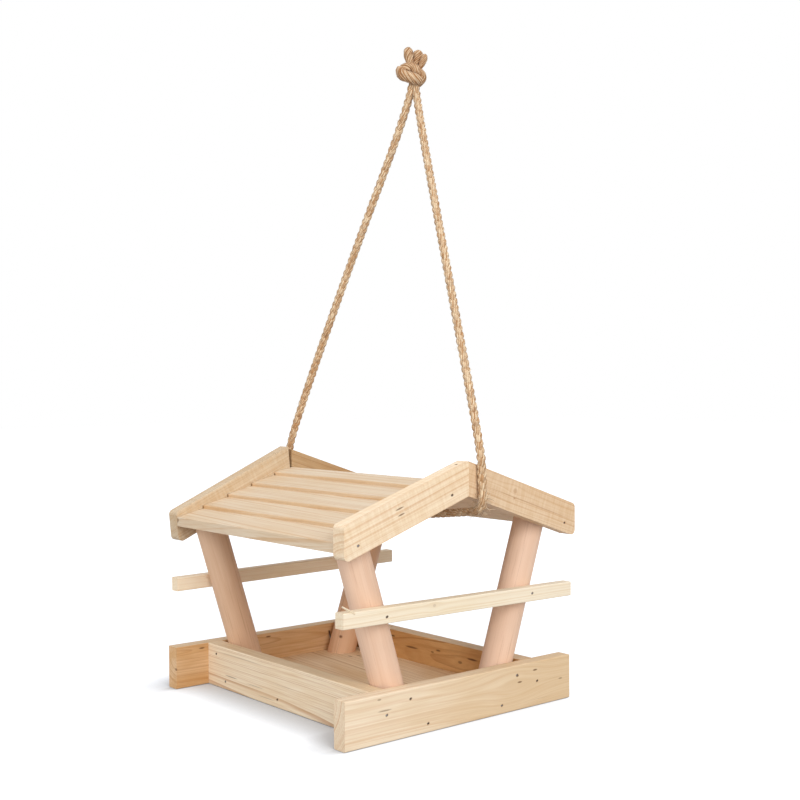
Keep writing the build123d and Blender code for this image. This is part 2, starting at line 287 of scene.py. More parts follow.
@dataclass(frozen=True)
class Board:
    """A wooden piece whose material is being built: its graph, its wood and how it was sawn."""

    graph: Graph
    finish: TimberFinish
    grain: Grain

    def draw(self) -> None:
        """Draw the wood, its relief and its sheen."""
        add, finish = self.graph.add, self.finish
        height = add("Math MULTIPLY_ADD", self.ring, 0.5, self.fibre)
        relief = {"Strength": 0.8, "Distance": mm(finish.relief_mm), "Height": height}
        look = {
            "Base Color": self.colour(),
            "Roughness": add("Math MULTIPLY_ADD", self.fibre, 0.12, finish.roughness - 0.06),
            "Normal": add("Bump", named=relief),
            "Specular IOR Level": 0.3,
        }
        add("OutputMaterial", add("BsdfPrincipled", named=look))

    @cached_property
    def place(self) -> Socket:
        """Find the shaded point in the board's own axes.

        Returns:
            The point in millimetres: side, up, along.
        """
        add, grain = self.graph.add, self.grain
        along = Vector(grain.along).normalized()
        up = (Vector(grain.up) - along * along.dot(Vector(grain.up))).normalized()
        place = add("TexCoord", out="Object")
        place = add("VectorMath SUBTRACT", place, Vector(grain.centre) / 1000.0)
        axes = (up.cross(along), up, along)
        parts = [add("VectorMath DOT_PRODUCT", place, axis * 1000.0, out="Value") for axis in axes]
        return add("CombineXYZ", *parts)

    @cached_property
    def bent(self) -> Socket:
        """Give the grain its slow wander, and lead it round each knot.

        Returns:
            The place that the point had before the grain was bent.
        """
        add, finish, grain = self.graph.add, self.finish, self.grain
        slow = add("VectorMath MULTIPLY", self.place, [1 / span for span in finish.wander_span])
        slow = add("VectorMath ADD", slow, [grain.seed * share for share in (7.3, 3.1, 1.7)])
        wander = add("TexNoise", named={"Vector": slow, "Scale": 1.0, "Detail": 2.0}, out="Color")
        wander = add("VectorMath SUBTRACT", wander, (0.5, 0.5, 0.5))
        reach = (finish.wander_mm * 2, finish.wander_mm * 2, 0.0)
        bent = add("VectorMath MULTIPLY_ADD", wander, reach, self.place)
        along = add("SeparateXYZ", self.place, out="Z")
        aside = add("VectorMath SCALE", (*grain.drift, 0.0), named={"Scale": along})
        bent = add("VectorMath ADD", bent, aside)
        for knot in [knot for knot in grain.knots if knot.spread]:
            off = add("VectorMath SUBTRACT", self.place, knot.place)
            near = (1 / knot.spread, 1 / knot.spread, 1 / knot.reach)
            near = add("VectorMath MULTIPLY", off, near)
            near = add("VectorMath DOT_PRODUCT", near, near, out="Value")
            pull = add("Math EXPONENT", add("Math MULTIPLY", near, -1.0))
            shift = add("VectorMath MULTIPLY", off, add("CombineXYZ", pull, pull, 0.0))
            aside = (-finish.knot_pull, -finish.knot_pull, 0.0)
            bent = add("VectorMath MULTIPLY_ADD", shift, aside, bent)
        return bent

    def knot_cores(self) -> Socket | float:
        """Find how much of the point is a knot's core.

        Returns:
            The share, from 0 to 1.
        """
        add = self.graph.add
        cores = 0.0
        for knot in self.grain.knots:
            off = add("VectorMath SUBTRACT", self.place, knot.place)
            inner = (1 / knot.width, 1 / knot.width, 1 / knot.length)
            inner = add("VectorMath MULTIPLY", off, inner)
            inner = add("VectorMath LENGTH", inner, out="Value")
            core = add("MapRange", inner, 1.3, 0.6, 0.0, knot.core, **SMOOTH)
            cores = add("Math MAXIMUM", cores, core)
        return cores

    @cached_property
    def ring(self) -> Socket:
        """Find how much latewood shows. Each year has its own strength.

        Returns:
            The share, from 0 to 1.
        """
        add, finish, grain = self.graph.add, self.finish, self.grain
        first_year = grain.seed * 11.0
        flat = add("VectorMath SUBTRACT", self.bent, (*grain.pith, 0.0))
        flat = add("VectorMath MULTIPLY", flat, (1.0, 1.0, 0.0))
        out = add("VectorMath LENGTH", flat, out="Value")
        out = add("Math DIVIDE", out, finish.ring_mm)
        slow = add("Math MULTIPLY_ADD", out, 0.55, first_year)
        uneven = add("TexNoise", named={"W": slow, "Scale": 1.0}, noise_dimensions="1D")
        out = add("Math MULTIPLY_ADD", uneven, finish.year_sway, out)
        out = add("Math ADD", out, first_year)
        year = add("Math FLOOR", out)
        strength = add("TexWhiteNoise", named={"W": year}, noise_dimensions="1D")
        strength = add("Math MULTIPLY_ADD", strength, 1.0 - finish.faintest_year, finish.faintest_year)
        share = add("Math FRACT", out)
        rise = add("MapRange", share, *finish.late_rises, **SMOOTH)
        drop = add("MapRange", share, *finish.late_drops, **SMOOTH)
        late = add("Math MULTIPLY", rise, drop)
        return add("Math MULTIPLY", late, strength)

    @cached_property
    def fibre(self) -> Socket:
        """Draw the fibres."""
        return self.streaks(self.bent, self.finish.fibre_mm, self.grain.seed + 3.0)

    def streaks(self, place: Socket, width_mm: float, seed: float) -> Socket:
        """Draw long fine streaks.

        Args:
            place: the point, bent or not.
            width_mm: about how wide a streak is.
            seed: sets these streaks apart from others.

        Returns:
            The streaks, from 0 to 1.
        """
        add = self.graph.add
        across = 0.5 / width_mm
        stretch = (across, across, across / self.finish.fibre_ratio)
        spot = add("VectorMath MULTIPLY_ADD", place, stretch, (seed, seed * 2.7, seed * 0.6))
        fine = {"Vector": spot, "Scale": 1.0, "Detail": 3.0, "Roughness": 0.6}
        return add("TexNoise", named=fine)

    def colour(self) -> Socket:
        """Mix the wood's colour.

        Returns:
            The colour.
        """
        add, finish, grain = self.graph.add, self.finish, self.grain
        share = add("Math MULTIPLY", self.ring, finish.ring_share)
        tone = add("Mix", named={0: share, 6: linear(finish.early), 7: linear(finish.late)}, **COLOUR)
        drift = [1 / span for span in finish.tone_span]
        drift = add("VectorMath MULTIPLY_ADD", self.bent, drift, (grain.seed * 5.1, 0.0, grain.seed))
        drift = add("TexNoise", named={"Vector": drift, "Scale": 1.0, "Detail": 3.0})
        share = add("MapRange", drift, 0.35, 0.7, 0.0, finish.tint_share, **SMOOTH)
        apart = add("SeparateXYZ", self.place).node.outputs
        # Painted shade: the board darkens towards one end, where the light falls off along it.
        reach = grain.half_length
        along = add("MapRange", apart["Z"], -reach, reach, 0.0, grain.deepens, **SMOOTH)
        share = add("Math ADD", share, along, use_clamp=True)
        tone = add("Mix", named={0: share, 6: tone, 7: linear(finish.tint)}, **COLOUR)
        # Painted shade along a lapped slat's step, where it sits over the slat below.
        if grain.step:
            band = (grain.step * share for share in finish.lap_band)
            share = add("MapRange", apart["X"], *band, 0.0, finish.lap_share)
            tone = add("Mix", named={0: share, 6: tone, 7: linear(finish.lap_shade)}, **COLOUR)
        edge = grain.pale_above
        share = add("MapRange", apart["Y"], edge, edge + finish.pale_fade_mm, 0.0, finish.pale_share)
        tone = add("Mix", named={0: share, 6: tone, 7: linear(finish.pale)}, **COLOUR)
        shade = self.shade()
        red = add("Math MULTIPLY_ADD", shade, 0.6, 0.4)
        blue = add("Math MULTIPLY_ADD", shade, 1.5, -0.5)
        warm = add("CombineColor", red, shade, blue)
        tone = add("Mix", named={0: 1.0, 6: tone, 7: warm}, blend_type="MULTIPLY", **COLOUR)
        dashes = self.streaks(self.place, finish.dash_mm, grain.seed + 9.0)
        low, high = finish.dash_level, finish.dash_level + 0.05
        share = add("MapRange", dashes, low, high, 0.0, finish.dash_share, **SMOOTH)
        # Knots, resin and the slats' spots of painted shadow take the dash colour.
        share = add("Math MAXIMUM", share, self.knot_cores())
        share = add("Math MAXIMUM", share, self.brad_stains())
        return add("Mix", named={0: share, 6: tone, 7: linear(finish.dash)}, **COLOUR)

    def shade(self) -> Socket:
        """Find what the fibres, the saw's strokes and the end grain do to the tone.

        Returns:
            What the colour is multiplied by.
        """
        add, finish, grain = self.graph.add, self.finish, self.grain
        span = finish.fibre_share
        fibre = add("MapRange", self.fibre, 0.3, 0.7, 1.0 - span, 1.0 + span)
        strokes = add("VectorMath MULTIPLY", self.place, finish.saw_per_mm)
        strokes = add("TexNoise", named={"Vector": strokes, "Scale": 1.0, "Detail": 2.0})
        strokes = add("MapRange", strokes, 0.35, 0.65, 1.0, 1.0 - finish.saw_share)
        along = add("Math ABSOLUTE", add("SeparateXYZ", self.place, out="Z"))
        reach = grain.half_length
        ends = add("MapRange", along, reach - 0.3, reach, 1.0, grain.end_tone)
        return add("Math MULTIPLY", add("Math MULTIPLY", fibre, strokes), ends)

    def brad_stains(self) -> Socket | float:
        """Find how much of the point is stained by a brad's head.

        Returns:
            The share, from 0 to 1.
        """
        add, finish = self.graph.add, self.finish
        place = add("TexCoord", out="Object")
        far, near = (mm(reach) for reach in finish.stain_mm)
        stains = 0.0
        for brad in self.grain.brads:
            away = add("VectorMath DISTANCE", place, brad, out="Value")
            stain = add("MapRange", away, far, near, 0.0, finish.stain_share, **SMOOTH)
            stains = add("Math MAXIMUM", stains, stain)
        return stains


# Pine, sawn and lightly sanded, unsealed: a matt cream face with orange-brown growth lines.
PINE = TimberFinish(early="#F0DDC1", late="#CB9460", tint="#E6C79D")
# A paler piece with stronger growth lines, in the left rail.
PINE_RAIL = replace(PINE, early="#F3E0C3", late="#B67C48", pale="#DCC39E", ring_mm=1.8, ring_share=0.75)
# The same at the front, where the board darkens towards its right end: painted shade where the light falls
# off to the right.
PINE_FRONT = replace(PINE, tint="#DEC19A")
# The same pine straight from the saw, whose strokes cross the grain.
PINE_SAWN = TimberFinish(early="#F3DFC2", late="#D39F6B", tint="#EBCEA5", ring_share=0.55, saw_share=0.11)
# Sawn pine from nearer the tree's heart: tan, with finer and fainter growth lines.
PINE_HEART = TimberFinish(
    early="#E3C7A5",
    late="#C29163",
    tint="#D9B58A",
    dash="#9C5F2C",
    ring_share=0.5,
    tint_share=0.5,
    saw_share=0.12,
)
# The same at the back of the roof, a little greyed.
PINE_GREYED = replace(PINE_HEART, early="#D6C2A5", late="#B78D63", tint="#CDB08A")
# Its neighbour, deeper in tone: painted shade where it stands under the roof's right slope.
PINE_BACK_SHADED = TimberFinish(early="#C0A27B", late="#936233", tint="#AD8454", tint_share=0.6)
# Pine, darker and orange-brown on the inside of the tray: painted shade and painted orange bounce light of
# the tray's inside.
PINE_INNER_SHADED = TimberFinish(early="#DDB588", late="#A86C38", tint="#C99355", tint_share=0.6, ring_share=0.6)
# The darkest board, with resin and growth lines that run up to points; its dark orange is partly its own
# and partly painted shade of the tray's inside.
PINE_FLAME_SHADED = TimberFinish(
    early="#CC9B64",
    late="#87501F",
    tint="#B57C42",
    dash="#54300F",
    ring_mm=5.5,
    ring_share=0.75,
    tint_share=0.55,
    wander_mm=4.5,
)
# Pine in the tray's floor, between the two.
PINE_FLOOR = TimberFinish(early="#E9CFAD", late="#B07C48", tint="#D2A974", tint_share=0.5, ring_share=0.7)
# Pine planed thin for the roof, a little greyed: paler, with softer growth lines.
PINE_SLAT = TimberFinish(
    early="#DCC8AD",
    late="#C3935E",
    tint="#CFAD80",
    lap_shade="#D0A26A",
    ring_share=0.65,
    tint_share=0.3,
    wander_mm=1.0,
)
# Slats with more resin in them, on the right slope.
PINE_SLAT_WARM = replace(PINE_SLAT, early="#E2C49C", tint="#D3A873")
# Whitewood ripped to a thin strip: the palest piece, fine and even.
WHITEWOOD = TimberFinish(
    early="#F3E5CC",
    late="#D9B686",
    tint="#E9D7B3",
    wood="whitewood",
    ring_mm=2.2,
    ring_share=0.4,
    dash_share=0.2,
    fibre_share=0.07,
)
# The same, paler and warmer, on the back bar: painted light that lifts it out of the roof's shade.
WHITEWOOD_WARM_LIT = replace(WHITEWOOD, early="#FCEBD0", late="#E9C190", tint="#F6DDB4")
# Beech dowel, turned and sanded: pinkish, close-grained, with short darker flecks.
BEECH = TimberFinish(
    early="#E8C6AC",
    late="#D5A98A",
    tint="#DFBA9E",
    wood="beech",
    dash="#B07F5C",
    ring_mm=2.6,
    ring_share=0.25,
    wander_mm=1.5,
    fibre_mm=0.45,
    fibre_share=0.045,
    dash_mm=0.45,
    dash_level=0.62,
    dash_share=0.4,
    tint_share=0.4,
    roughness=0.55,
    relief_mm=0.05,
)
# Beech, darker and redder, on the two dowels at the back: painted shade and painted orange bounce light of
# the tray's inside, deeper on the right one.
BEECH_SHADED_BACK_LEFT = replace(BEECH, early="#E3BE9E", late="#CC9D78", tint="#D5A986")
BEECH_SHADED_BACK_RIGHT = replace(BEECH, early="#DDB18D", late="#C08E68", tint="#CDA079", dash="#7C4F31")


@dataclass(frozen=True)
class JuteFinish:
    """Spun and plaited jute: matt golden brown, streaked by its fibres, with painted shade in its hollows
    and grooves.

    A fibre is fibre_mm wide and 1000 / fibres_along times as long. blotches is the scale of the
    slow change of tone, per metre.
    """

    light: str = "#E8D1AF"
    middle: str = "#B98F65"
    dark: str = "#7A4A22"
    fibre_mm: float = 0.9
    fibres_along: float = 90.0
    blotches: float = 170.0
    relief_mm: float = 0.6
    roughness: float = 0.85

    def material(self, name: str) -> bpy.types.Material:
        """Build the finish from a strand's own attributes: strand_place, and hollow and groove, which
        carry painted shade.

        Args:
            name: the material's name.

        Returns:
            The material.
        """
        made, graph = new_material(name)
        add = graph.add
        place = add("Attribute", attribute_name="strand_place", out="Vector")
        across, along = 1000 / self.fibre_mm, self.fibres_along / self.fibre_mm
        fine = add("VectorMath MULTIPLY", place, (across, across, along))
        fine = add("TexNoise", named={"Vector": fine, "Scale": 1.0, "Detail": 3.0})
        slow = add("TexNoise", named={"Vector": place, "Scale": self.blotches, "Detail": 2.0})
        share = add("MapRange", fine, 0.42, 0.58, **SMOOTH)
        tone = add("Mix", named={0: share, 6: linear(self.middle), 7: linear(self.light)}, **COLOUR)
        share = add("MapRange", slow, 0.5, 0.75, 0.0, 0.5, **SMOOTH)
        # The hollows and grooves darken: painted shade.
        for hollow in ("hollow", "groove"):
            depth = add("Attribute", attribute_name=hollow, out="Fac")
            share = add("Math MAXIMUM", share, depth)
        relief = {"Strength": 0.9, "Distance": mm(self.relief_mm), "Height": fine}
        look = {
            "Base Color": add("Mix", named={0: share, 6: tone, 7: linear(self.dark)}, **COLOUR),
            "Roughness": self.roughness,
            "Normal": add("Bump", named=relief),
            "Sheen Weight": 0.15,
            "Sheen Roughness": 0.5,
            "Specular IOR Level": 0.2,
        }
        add("OutputMaterial", add("BsdfPrincipled", named=look))
        return made


# Jute in a plait.
JUTE = JuteFinish()
# The same in the knot, a little darker, with deeper painted shade in its grooves.
JUTE_KNOT_SHADED = replace(JUTE, light="#E3C7A4", middle="#A2744A", dark="#6A3E1C")
# Its loose fibres, which are paler.
JUTE_LOOSE = replace(JUTE, light="#F0DDC0", middle="#DDBE94")


@dataclass(frozen=True)
class SteelFinish:
    """Drawn steel wire, cut and headed: dull grey, stained where it sits in the wood.

    stained is about the share that has gone brown, and blotches is the stains' scale, per metre.
    """

    bright: str = "#85868A"
    stain: str = "#3E2C1E"
    stained: float = 0.55
    blotches: float = 55.0
    metallic: float = 0.9
    roughness: float = 0.42

    def material(self, name: str) -> bpy.types.Material:
        """Build the finish.

        Args:
            name: the material's name.

        Returns:
            The material.
        """
        made, graph = new_material(name)
        add = graph.add
        place = add("TexCoord", out="Object")
        blotch = add("TexNoise", named={"Vector": place, "Scale": self.blotches, "Detail": 1.0})
        level = 0.5 + 0.3 * (0.5 - self.stained)
        share = add("MapRange", blotch, level - 0.05, level + 0.05, **SMOOTH)
        tone = add("Mix", named={0: share, 6: linear(self.bright), 7: linear(self.stain)}, **COLOUR)
        metal = add("MapRange", share, 0.0, 1.0, self.metallic, self.metallic * 0.2)
        look = {"Base Color": tone, "Roughness": self.roughness, "Metallic": metal}
        add("OutputMaterial", add("BsdfPrincipled", named=look))
        return made


# Wire that sits in the wood: dull, with brown stains.
STEEL = SteelFinish()
# A bright piece of it, with no stain.
FRESH_STEEL = replace(STEEL, bright="#D2D4D6", stained=0.0, metallic=0.2)


def dress(node: str, material: bpy.types.Material) -> None:
    """Give a node of the construction its finish, and report it.

    Args:
        node: the node's name.
        material: its finish.
    """
    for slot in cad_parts[node].material_slots:
        slot.material = material
    LOG.info("%s: %s", node, material.name)


def middle_mm(node: str) -> Place:
    """Return the middle of a node's box in millimetres."""
    low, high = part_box(node)
    return tuple(in_mm(a + b) / 2 for a, b in zip(low, high))


BRAD_GROUPS = (
    "tray_corner_brads",
    "post_foot_brads",
    "floor_brads",
    "perch_brads",
    "slat_end_brads",
    "mitre_brad",
    "post_head_brads",
)
BRAD_HEAD_MM = (2.0, 1.2)


def brads_in(node: str) -> tuple[Vector, ...]:
    """Find where brad heads show in a piece.

    Args:
        node: the piece's name.

    Returns:
        The middles of the heads' outer triangles, in metres.
    """
    low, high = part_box(node)
    half_head = mm(BRAD_HEAD_MM[0]) * mm(BRAD_HEAD_MM[1]) / 2
    places = []
    for group in BRAD_GROUPS:
        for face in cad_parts[group].data.polygons:
            inside = all(a <= c <= b for a, c, b in zip(low, face.center, high))
            if inside and abs(face.area / half_head - 1.0) < 0.02:
                places.append(face.center.copy())
    return tuple(places)


def dress_wood(node: str, finish: TimberFinish, grain: Grain, nailed: bool = True) -> None:
    """Give a wooden piece its finish, and report it.

    Args:
        node: the piece's name.
        finish: its wood.
        grain: how it was sawn.
        nailed: whether the brad heads in it stain it.
    """
    grain = replace(grain, centre=middle_mm(node), brads=brads_in(node) if nailed else ())
    dress(node, finish.material(f"{finish.wood}_{node}", grain))


# ---- The wooden pieces -----------------------------------------------------------------------
def resin(place: Place, length: float = 2.4, width: float = 0.7, core: float = 0.85) -> Knot:
    """Return a small resin pocket, which leaves the grain straight."""
    return Knot(place, width, length, core=core)


@dataclass
class Tray:
    """The end boards, side rails and floor panel.

    board_face and rail_face are where a board's seen face is, in its own side millimetres, and
    top_edge is where its top edge begins, in its own up millimetres.
    """

    board_face: float = -6.25
    rail_face: float = 6.75
    top_edge: float = 17.1
    rail_half: float = 110.0

    def front_grain(self) -> Grain:
        """Describe the front board's grain, which rises over a knot in the right half.

        Returns:
            The grain.
        """
        face = self.board_face
        marks = (
            Knot((face, 3.0, 50.0), 0.8, 1.2, 15.0, 34.0, 0.0),
            resin((face, 9.5, 55.0), 1.5, 1.0),
            resin((face, 4.1, 57.6)),
            resin((face, 11.1, 74.8)),
            resin((face, 5.6, -79.1), 6.0, 0.6, 0.55),
            resin((face, 14.2, -84.1), 1.8, 0.7, 0.5),
            resin((face, -0.2, 104.2), 2.2, 0.7, 0.5),
        )
        # deepens darkens the right end: painted shade where the light falls off.
        return Grain((34.0, 19.0), marks, seed=0.3, drift=(0.01, -0.005), deepens=1.0)

    def back_grain(self) -> Grain:
        """Describe the back board's grain.

        Returns:
            The grain.
        """
        face = self.board_face
        marks = (
            resin((face, 13.7, -90.4), 2.6, 0.7),
            resin((face, 14.3, -22.6), 2.6, 0.7),
            resin((-5.4, -1.0, -115.0), 1.0, 1.3, 0.7),
        )
        drift = (0.05, 0.03)
        return Grain((-14.0, 10.0), marks, seed=0.62, drift=drift, pale_above=self.top_edge, end_tone=1.12)

    def left_grain(self) -> Grain:
        """Describe the left rail's grain.

        Returns:
            The grain.
        """
        face = self.rail_face
        marks = (
            resin((face, -5.6, 74.0), 9.0, 0.5, 0.6),
            resin((face, -6.4, 38.0), 12.0, 0.4, 0.4),
            resin((face, -12.8, 22.0), 12.0, 0.4, 0.35),
            resin((face, 12.5, 60.0), 30.0, 0.4, 0.25),
        )
        # deepens darkens the back end a little: painted shade where the light falls off.
        return Grain(
            (34.0, -26.0),
            marks,
            Y_AXIS,
            seed=0.15,
            drift=(0.04, 0.02),
            deepens=0.15,
            half_length=self.rail_half,
            pale_above=self.top_edge,
        )

    def right_grain(self) -> Grain:
        """Describe the right rail's grain, which runs up to points between small knots.

        Returns:
            The grain.
        """
        face = self.rail_face
        marks = (
            Knot((face, 3.2, -39.7), 1.2, 2.6, 5.0, 14.0, 0.6),
            Knot((face, 0.0, 12.0), 0.6, 1.0, 9.0, 24.0, 0.0),
            resin((face, 5.7, 23.0), 8.0, 0.9, 0.75),
            resin((face, 8.6, -12.0), 3.0, 0.8, 0.75),
            resin((face, 6.1, -4.5), 2.0, 0.9, 0.6),
            resin((face, 8.0, -54.5), 6.0, 0.8, 0.85),
            resin((face, 11.9, 48.9), 3.0, 0.8, 0.8),
        )
        return Grain((13.0, 2.0), marks, Y_AXIS, seed=0.9, drift=(-0.14, 0.03), pale_above=self.top_edge)

    def floor_grain(self) -> Grain:
        """Describe the floor panel's grain.

        Returns:
            The grain.
        """
        marks = (resin((-48.5, 4.5, 71.2), 3.0, 1.2, 0.6), resin((-40.9, 4.5, 73.5), 3.0, 1.2, 0.5))
        return Grain((22.0, -20.0), marks, Y_AXIS, seed=0.45, drift=(0.08, 0.02))

    def build(self) -> None:
        """Dress the tray's boards."""
        dress_wood("end_board_front", PINE_FRONT, self.front_grain())
        # The back board's finish carries painted shade and painted bounce light of the tray's inside.
        dress_wood("end_board_back", PINE_INNER_SHADED, self.back_grain())
        dress_wood("side_rail_left", PINE_RAIL, self.left_grain())
        # The right rail's darkness is partly painted shade of the tray's inside.
        dress_wood("side_rail_right", PINE_FLAME_SHADED, self.right_grain())
        dress_wood("floor_panel", PINE_FLOOR, self.floor_grain())


@dataclass
class PostsAndPerches:
    """The four leaning dowels and the two bars nailed across them."""

    left_lean: float = 17.2
    right_lean: float = 19.1
    bar_length: float = 234.0
    seed_step: float = 0.21
    bar_seed: float = 0.33

    def post_grain(self, node: str, side: int, seed: float) -> Grain:
        """Describe a dowel's grain, along its own lean. One has an old brad hole in its foot.

        Args:
            node: the dowel's name.
            side: -1 on the left and 1 on the right.
            seed: sets its grain apart from the others'.

        Returns:
            The grain.
        """
        lean = radians(self.left_lean if side < 0 else self.right_lean)
        hole = (Knot((-9.8, -7.7, -60.8), 2.2, 1.8),) if node == "post_back_right" else ()
        return Grain((9.0, 24.0), hole, (side * sin(lean), 0.0, cos(lean)), Y_AXIS, seed=seed)

    def bar_grain(self, node: str, seed: float) -> Grain:
        """Describe a perch bar's grain, with a faint knot on the front one.

        Args:
            node: the bar's name.
            seed: sets its grain apart from the other's.

        Returns:
            The grain.
        """
        knot = (Knot((-4.7, 2.7, -32.2), 1.2, 1.6, 4.0, 8.0, 0.2),) if node == "perch_bar_front" else ()
        return Grain((-5.0, -30.0), knot, seed=seed, half_length=self.bar_length / 2)

    def build(self) -> None:
        """Dress the dowels and the bars."""
        # At the back, the dowels' finishes carry painted shade, and the bar's painted light.
        woods = {"front": (BEECH, BEECH, WHITEWOOD), "back": (BEECH_SHADED_BACK_LEFT, BEECH_SHADED_BACK_RIGHT, WHITEWOOD_WARM_LIT)}
        for number, (end, (left, right, bar)) in enumerate(woods.items()):
            for side, name, finish in ((-1, "left", left), (1, "right", right)):
                node = f"post_{end}_{name}"
                grain = self.post_grain(node, side, self.seed_step * (number * 2 + side + 2))
                dress_wood(node, finish, grain, nailed=False)
            node = f"perch_bar_{end}"
            dress_wood(node, bar, self.bar_grain(node, self.bar_seed + number))


@dataclass
class Roof:
    """The four barge boards and the ten lapped slats.

    past_barge_end is a length past a barge board's ends, whose tone is that of its faces. The pith
    of a slat lies slat_pith sideways and up from it, and slat_pith_step further aside for each
    place down the slope.
    """

    pitch: float = 18.6
    slipped_pitch: float = 24.1
    board_face: float = -6.25
    slat_count: int = 5
    past_barge_end: float = 200.0
    slat_pith: tuple[float, float] = (18.0, -30.0)
    slat_pith_step: float = 4.0

    def barge_grain(self, side: int, end: str, name: str) -> Grain:
        """Describe a barge board's grain, which runs down the slope.

        Args:
            side: -1 on the left and 1 on the right.
            end: front or back.
            name: left or right.

        Returns:
            The grain.
        """
        pitch = radians(self.slipped_pitch if (side, end) == (-1, "back") else self.pitch)
        along = (cos(pitch), 0.0, -side * sin(pitch))
        piths = {
            "front_left": (-10.0, -34.0),
            "front_right": (14.0, 30.0),
            "back_left": (12.0, 24.0),
            "back_right": (-9.0, 16.0),
        }
        face = self.board_face
        marks = {
            "front_left": (
                resin((face, 4.0, -8.0), 3.8, 0.6, 0.8),
                resin((face, -0.7, -7.8), 3.2, 0.6, 0.8),
            ),
            "front_right": (
                Knot((face, 3.6, -11.3), 2.0, 2.2, 5.0, 12.0, 0.3),
                resin((face, -1.9, -10.4), 1.4, 0.9, 0.5),
                resin((face, -1.4, 8.0), 46.0, 0.45, 0.4),
            ),
        }
        board = f"{end}_{name}"
        knots = marks.get(board, ())
        seed = 0.5 * side + len(end) * 0.13
        return Grain(piths[board], knots, along, seed=seed, half_length=self.past_barge_end)

    def slat_grain(self, node: str, side: int, place: int) -> Grain:
        """Describe a slat's grain, the painted shade along its lower edge, and a spot of painted shadow at
        that edge's back end, where it meets the barge board.

        Args:
            node: the slat's name.
            side: -1 on the left and 1 on the right.
            place: its number, from the ridge down.

        Returns:
            The grain.
        """
        low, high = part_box(node)
        edge = -side * in_mm(high[0] - low[0]) / 2
        behind = in_mm(high[1] - low[1]) / 2
        # A spot of painted shadow in the gap where the slat's lower edge meets the back barge board.
        spot = (Knot((edge * 0.92, -1.5, behind), 2.2, 3.0, core=0.75),)
        pith = (side * (self.slat_pith[0] + self.slat_pith_step * place), self.slat_pith[1])
        # Slats above the lowest one get painted shade along their lower edge.
        step = edge if place < self.slat_count else 0.0
        seed = side * 0.37 + place * 0.61
        return Grain(pith, spot, Y_AXIS, seed=seed, drift=(0.01 * place, 0.0), step=step)

    def build(self) -> None:
        """Dress the barge boards and the slats."""
        # The back right barge board's finish carries painted shade under the roof.
        finishes = {
            "front_left": PINE_SAWN,
            "front_right": PINE_HEART,
            "back_left": PINE_GREYED,
            "back_right": PINE_BACK_SHADED,
        }
        for side, name, slats in ((-1, "left", PINE_SLAT), (1, "right", PINE_SLAT_WARM)):
            for end in ("front", "back"):
                board = f"{end}_{name}"
                dress_wood(f"barge_board_{board}", finishes[board], self.barge_grain(side, end, name))
            for place in range(1, self.slat_count + 1):
                node = f"roof_slat_{name}_{place}"
                dress_wood(node, slats, self.slat_grain(node, side, place), nailed=False)


@dataclass
class Brads:
    """The wire brads that hold the wood together, and what the maker left behind.

    A splinter stands up from the front bar's left end, and a brad that missed its post stands in
    front of the back board. Each is a line from foot to tip in millimetres, with its radii.
    """

    splinter: tuple[Place, Place] = ((-106.9, -119.2, 94.6), (-117.4, -118.6, 100.8))
    splinter_radii: tuple[float, float] = (0.9, 0.6)
    missed: tuple[Place, Place] = ((42.0, 108.8, 20.0), (40.0, 108.6, 28.5))
    missed_radii: tuple[float, float] = (0.6, 0.6)

    def sliver(
        self, name: str, line: tuple[Place, Place], radii: tuple[float, float], finish: bpy.types.Material
    ) -> None:
        """Make a thin square rod that rides on the house.

        Args:
            name: the new object's name.
            line: its foot and tip, in millimetres.
            radii: half its width at both, in millimetres.
            finish: its material.
        """
        foot, tip = (Vector(point) for point in line)
        across = (tip - foot).cross(Vector(Y_AXIS)).normalized()
        beside = (tip - foot).cross(across).normalized()
        corners = [
            mm(1.0) * (point + (across * cos(turn) + beside * sin(turn)) * radius)
            for point, radius in zip((foot, tip), radii)
            for turn in (0.0, pi / 2, pi, 3 * pi / 2)
        ]
        sides = [(i, (i + 1) % 4, (i + 1) % 4 + 4, i + 4) for i in range(4)]
        mesh = bpy.data.meshes.new(name)
        mesh.from_pydata(corners, [], [(3, 2, 1, 0), (4, 5, 6, 7), *sides])
        mesh.materials.append(finish)
        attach(add_object(name, mesh), "house")
        LOG.info("%s: %s", name, finish.name)

    def build(self) -> None:
        """Dress every group with the one steel, and add the splinter and the brad that missed."""
        steel = STEEL.material("steel_wire_brads")
        for group in BRAD_GROUPS:
            dress(group, steel)
        fresh = FRESH_STEEL.material("steel_fresh_brad")
        grain = Grain((0.0, -9.0), along=(-1.0, 0.0, 0.5), centre=self.splinter[0], seed=0.2)
        wood = WHITEWOOD.material("whitewood_splinter", grain)
        self.sliver("perch_splinter", self.splinter, self.splinter_radii, wood)
        self.sliver("missed_brad", self.missed, self.missed_radii, fresh)


# ---- Rope ------------------------------------------------------------------------------------
class Input(Enum):
    """Kinds of input and output that the rope's node trees have."""

    SHAPE = "NodeSocketGeometry"
    NUMBER = "NodeSocketFloat"
    COUNT = "NodeSocketInt"
    PLACE = "NodeSocketVector"
    FINISH = "NodeSocketMaterial"


